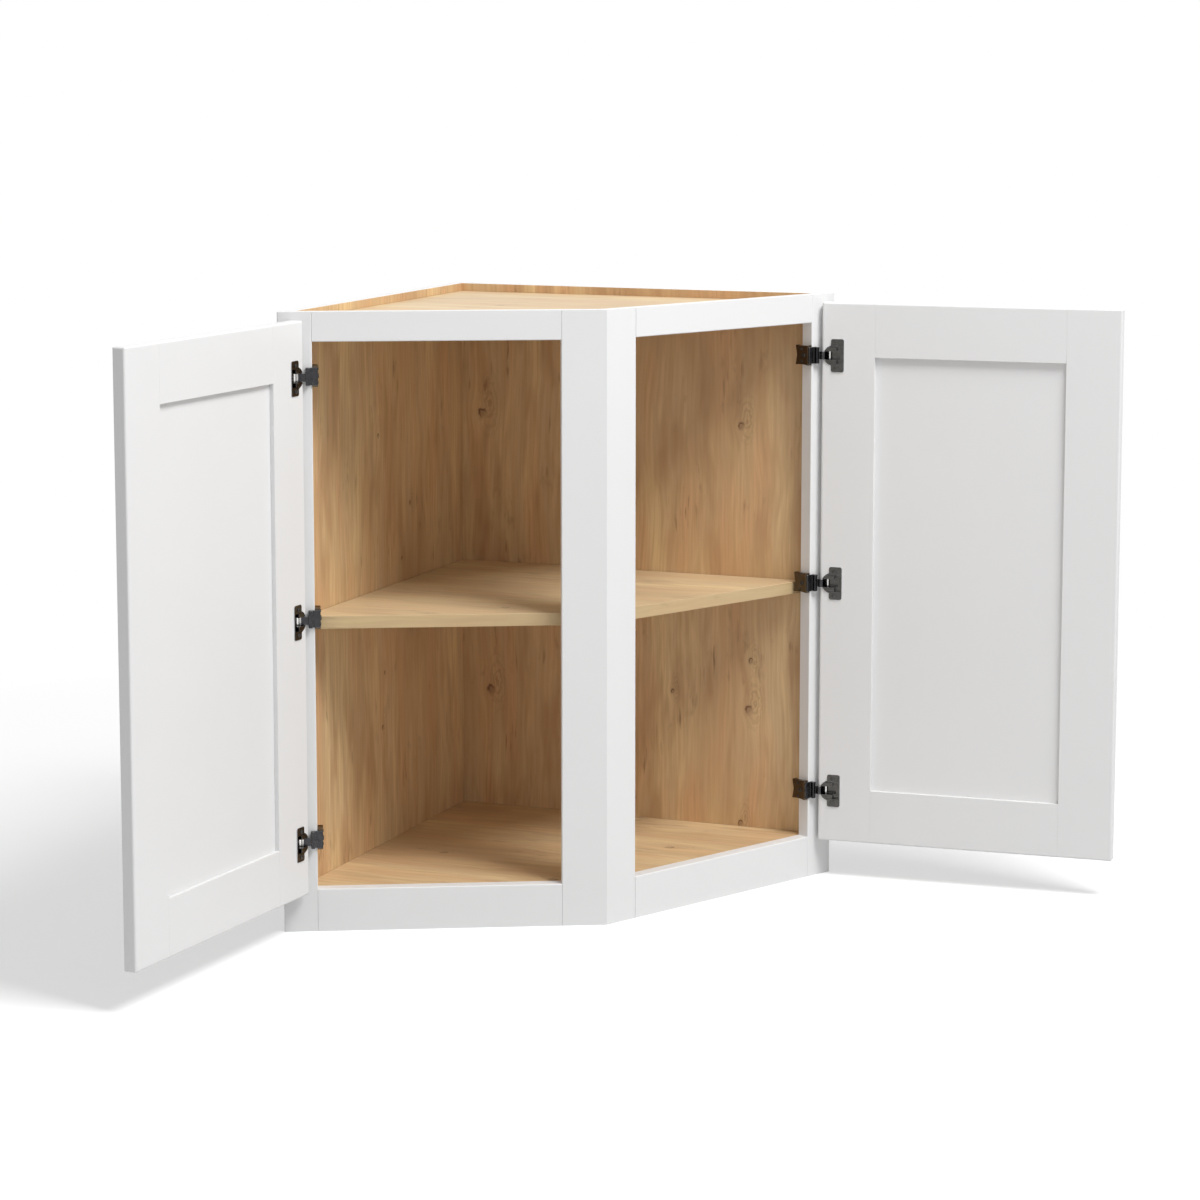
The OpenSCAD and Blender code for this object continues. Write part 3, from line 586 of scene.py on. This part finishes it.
# Width and rise of the head, width of the shank, and length.
CUP_SCREW = (0.0064, 0.0013, 0.0035, 0.0112)
PLATE_SCREW = (0.0044, 0.0008, 0.0035, 0.025)
ARM_SCREW = (0.007, 0.0014, 0.004, 0.0064)
TIGHTENED = (0.3, 1.1, 0.7, 0.1, 1.3, 0.5)
# The cross: half the width of its slots, half their length, and how far the walls at their
# sides and ends slope, as shares of the head's width. Its depth is a share of the head's rise.
CROSS_WIDTH, CROSS_LENGTH, CROSS_WALL, CROSS_END = 0.11, 0.33, 0.03, 0.04
CROSS_DEPTH = 0.75
# How much of its rise the head loses towards its rim, and how far along the point begins.
DOME, POINT_FROM = 0.35, 0.85
RINGS, SPOKES = 26, 72
SCREW_SHARP = math.radians(35)
blackened = plated("blackened screws", (0.11, 0.108, 0.105), 0.4, 0.28)


def screw_shape(head, rise, shank, length):
    """A screw of revolution about +X, seated at 0: rings run out over the head, down its rim, in
    to the shank and to its point. The head is a dome of height rise (1 - 0.35 (r / R)^4). A cross
    is cut into it, deepest where min(|u|, |v|) and max(|u|, |v|) lie inside the slots' half width
    and half length, with walls that slope up to both."""
    out = np.linspace(0.04, 1.0, RINGS) * head / 2
    radius = np.concatenate([out, [head / 2, shank / 2, shank / 2]])
    dome = rise * (1 - DOME * (out / out[-1]) ** 4)
    height = np.concatenate([dome, [0.0, 0.0, -length * POINT_FROM]])
    turn = np.linspace(0, 2 * math.pi, SPOKES, endpoint=False)
    u = radius[:, None] * np.cos(turn)
    v = radius[:, None] * np.sin(turn)
    x = np.repeat(height[:, None], SPOKES, axis=1)
    inside_width = head * CROSS_WIDTH - np.minimum(abs(u), abs(v))
    inside_length = head * CROSS_LENGTH - np.maximum(abs(u), abs(v))
    narrow = np.clip(inside_width / (head * CROSS_WALL), 0, 1)
    short = np.clip(inside_length / (head * CROSS_END), 0, 1)
    sunk = rise * CROSS_DEPTH * narrow * short
    sunk[RINGS:] = 0
    rings = np.stack([x - sunk, u, v], -1).reshape(-1, 3)
    ends = np.array([[rise * (1 - CROSS_DEPTH), 0, 0], [-length, 0, 0]])
    return np.concatenate([rings, ends])


def screw_faces(ring_count):
    """Quads between neighbouring rings, and a fan round each of the two ends."""
    ring, spoke = np.meshgrid(np.arange(ring_count - 1), np.arange(SPOKES), indexing="ij")
    after = (spoke + 1) % SPOKES
    here, beyond = ring * SPOKES, (ring + 1) * SPOKES
    corners = [here + spoke, beyond + spoke, beyond + after, here + after]
    quads = np.stack(corners, -1).reshape(-1, 4)
    spoke = np.arange(SPOKES)
    after = (spoke + 1) % SPOKES
    last = (ring_count - 1) * SPOKES
    head_middle = np.full(SPOKES, ring_count * SPOKES)
    head_fan = np.stack([head_middle, spoke, after], -1)
    point_fan = np.stack([head_middle + 1, last + after, last + spoke], -1)
    return quads, np.concatenate([head_fan, point_fan])


def screws(node, side, place, seats, kind):
    """Like screws as one piece: each stands on its seat, turned about its own axis as it was
    tightened. place carries the seats to the cabinet. On the face frame a screw's head looks
    along the face, and in the door it looks out of the door's inner face."""
    shape = screw_shape(*kind)
    turns = np.array(TIGHTENED[:len(seats)])[:, None]
    u = shape[:, 1] * np.cos(turns) - shape[:, 2] * np.sin(turns)
    v = shape[:, 1] * np.sin(turns) + shape[:, 2] * np.cos(turns)
    x = np.repeat(shape[None, :, 0], len(seats), axis=0)
    axes = [x, u, v] if place is from_front else [u, x, v]
    points = place(np.stack(axes, -1) + np.array(seats)[:, None, :], side).reshape(-1, 3)
    quads, fans = screw_faces(len(shape) // SPOKES)
    start = np.arange(len(seats))[:, None, None] * len(shape)
    faces = (start + quads).reshape(-1, 4).tolist() + (start + fans).reshape(-1, 3).tolist()
    mesh = bpy.data.meshes.new("finished_" + node)
    mesh.from_pydata(points.tolist(), [], faces)
    made = bmesh.new()
    made.from_mesh(mesh)
    bmesh.ops.recalc_face_normals(made, faces=made.faces)
    made.to_mesh(mesh)
    made.free()
    mesh.polygons.foreach_set("use_smooth", np.ones(len(mesh.polygons), bool))
    mesh.materials.append(blackened)
    mesh.set_sharp_from_angle(angle=SCREW_SHARP)
    piece = bpy.data.objects.new("finished_" + node, mesh)
    bpy.context.scene.collection.objects.link(piece)
    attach(piece, frame["nodes"][node]["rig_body"])
    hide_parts(node)


for side in SIDES:
    plates = [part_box(f"{side}_{level}_hinge_plate") for level in LEVELS]
    heights = [(low[2] + high[2]) / 2 for low, high in plates]
    pairs = [(z, way) for z in heights for way in (-0.5, 0.5)]
    cup_seats = [(SCREW_IN, FLANGE, z + way * SCREW_PITCH) for z, way in pairs]
    plate_seats = [(PLATE_FACE, PLATE_SCREW_IN, z + way * PLATE_SCREW_PITCH) for z, way in pairs]
    arm_seats = [(PLATE_FACE, ARM_SCREW_IN, z) for z in heights]
    screws(f"{side}_cup_screws", side, from_door, cup_seats, CUP_SCREW)
    screws(f"{side}_plate_screws", side, from_front, plate_seats, PLATE_SCREW)
    screws(f"{side}_arm_screws", side, from_front, arm_seats, ARM_SCREW)


# Floor and backdrop: one pale sheet on which the cabinet stands. The camera sees it white where
# the light is open and further off, and it keeps the cabinet's shadow.
FLOOR_REACH = 30.0
FLOOR_TONES = (0.61, 0.61, 0.61, 1), (0.63, 0.63, 0.63, 1)
SEEN_TONE, GLOW = (0.75, 0.75, 0.75, 1), 0.32
# It fades to white between these two distances from the middle of the cabinet's place.
UNDER_CABINET = (0.4, -0.5, 0)
WHITE_FROM, WHITE_TO = 1.3, 2.2
WHITE_LIGHT = (1, 1, 1, 1)


def seen_directly(tree):
    """1 for what the camera sees, also by way of glass or a shiny face, and 0 for all else."""
    path = add(tree, "LightPath", {}).outputs
    seen = calc(tree, "MAXIMUM", path["Is Camera Ray"], path["Is Glossy Ray"])
    return calc(tree, "MAXIMUM", seen, path["Is Transmission Ray"])


def floor_finish():
    """Plain pale vinyl. For the camera its own tone is paler and glows a little, and further out
    it fades to plain white."""
    material = bpy.data.materials.new("pale floor")
    material.use_nodes = True
    tree = material.node_tree
    tree.nodes.clear()
    spot = add(tree, "TexCoord", {}).outputs["Object"]
    cloud = speckle(tree, spot, (1.5, 1.5, 1.5))
    matt = add(tree, "BsdfDiffuse", {"Color": blended(tree, cloud, *FLOOR_TONES)}).outputs[0]
    pale = add(tree, "BsdfDiffuse", {"Color": SEEN_TONE}).outputs[0]
    glow = add(tree, "Emission", {"Color": WHITE_LIGHT, "Strength": GLOW}).outputs[0]
    plain = add(tree, "Emission", {"Color": WHITE_LIGHT, "Strength": 1.0}).outputs[0]
    away = add(tree, "VectorMath", {0: spot, 1: UNDER_CABINET}, operation="DISTANCE").outputs[1]
    far = spread(tree, away, WHITE_FROM, WHITE_TO)
    near = add(tree, "AddShader", {0: pale, 1: glow}).outputs[0]
    seen = add(tree, "MixShader", {0: far, 1: near, 2: plain}).outputs[0]
    mixed = add(tree, "MixShader", {0: seen_directly(tree), 1: matt, 2: seen}).outputs[0]
    tree.links.new(mixed, tree.nodes.new("ShaderNodeOutputMaterial").inputs[0])
    return material


sheet = bpy.data.meshes.new("floor")
corners = np.array([[-1, -1], [1, -1], [1, 1], [-1, 1]]) * FLOOR_REACH
sheet.from_pydata([(x, y, 0.0) for x, y in corners.tolist()], [], [(0, 1, 2, 3)])
sheet.materials.append(floor_finish())
floor = bpy.data.objects.new("floor", sheet)
bpy.context.scene.collection.objects.link(floor)


# Studio light: a pale room, a little brighter overhead than at the height of the eye, and one
# soft lamp high on the right.
HORIZON, OVERHEAD = 0.42, 0.15
KEY_PLACE, KEY_AIM = (2.397, -1.095, 3.755), (0.35, -0.35, 0.4)
KEY_SIZE, KEY_WATTS = 1.5, 136

world = bpy.data.worlds.new("pale room")
world.use_nodes = True
sky = world.node_tree
sky.nodes.clear()
up = add(sky, "SeparateXYZ", {0: add(sky, "TexCoord", {}).outputs["Generated"]}).outputs[2]
above = calc(sky, "MULTIPLY", calc(sky, "MAXIMUM", up, 0.0), OVERHEAD)
brightness = calc(sky, "ADD", above, HORIZON)
room = add(sky, "Background", {"Color": WHITE_LIGHT, "Strength": brightness}).outputs[0]
plain = add(sky, "Background", {"Color": WHITE_LIGHT, "Strength": 1.0}).outputs[0]
either = add(sky, "MixShader", {0: seen_directly(sky), 1: room, 2: plain}).outputs[0]
sky.links.new(either, sky.nodes.new("ShaderNodeOutputWorld").inputs[0])
bpy.context.scene.world = world


def lamp(name, place, aim, size, watts):
    """A square soft lamp at place, turned to face aim."""
    light = bpy.data.lights.new(name, "AREA")
    light.size = size
    light.energy = watts
    made = bpy.data.objects.new(name, light)
    made.location = place
    made.rotation_euler = (Vector(aim) - Vector(place)).to_track_quat("-Z", "Y").to_euler()
    bpy.context.scene.collection.objects.link(made)


lamp("key lamp", KEY_PLACE, KEY_AIM, KEY_SIZE, KEY_WATTS)


# Camera: where the photograph was taken from, looking a little down. The lens is shifted, as in
# the photograph, so that the cabinet stands above the middle of the picture.
EYE_PLACE = (2.0810, -4.6814, 1.2487)
EYE_DOWN, EYE_TURN = 7.581, 21.487
EYE_LENS, EYE_SENSOR, EYE_SHIFT = 99.383, 36.0, -0.1

eye = bpy.data.cameras.new("camera")
eye.lens = EYE_LENS
eye.sensor_width = EYE_SENSOR
eye.shift_y = EYE_SHIFT
camera = bpy.data.objects.new("camera", eye)
camera.location = EYE_PLACE
camera.rotation_euler = (math.radians(90 - EYE_DOWN), 0, math.radians(EYE_TURN))
bpy.context.scene.collection.objects.link(camera)
bpy.context.scene.camera = camera
bpy.context.scene.view_settings.view_transform = "Standard"


bpy.context.view_layer.update()
